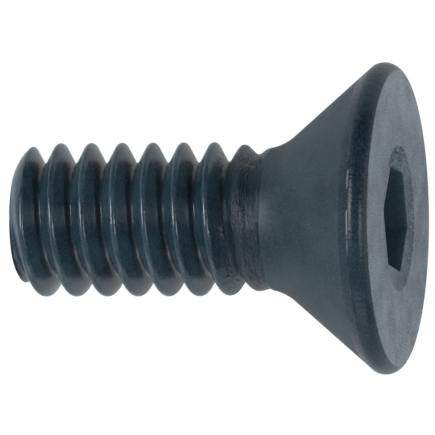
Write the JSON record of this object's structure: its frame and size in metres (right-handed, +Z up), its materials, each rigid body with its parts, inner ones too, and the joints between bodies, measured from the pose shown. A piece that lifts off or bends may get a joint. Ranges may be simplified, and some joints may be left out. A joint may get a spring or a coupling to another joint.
{
  "type": "countersunk socket screw",
  "caption": "Countersunk machine screw with a hexagon socket in its flat head and a coarse right-hand thread that runs out into the fillet under the head.",
  "frame": {"origin": "under the middle of the lying screw's bounding box, on the floor it rests on", "axes": "+X toward the head, +Y across the screw, +Z up; the screw's own axis lies in the XZ plane and leans up toward the head"},
  "size_m": [0.0169, 0.0124, 0.0122],
  "materials": {
    "black_oxide_steel": "matt black oxide, lightly oiled"
  },
  "bodies": {
    "root": {"countersunk_screw": "black_oxide_steel"}
  },
  "joints": []
}
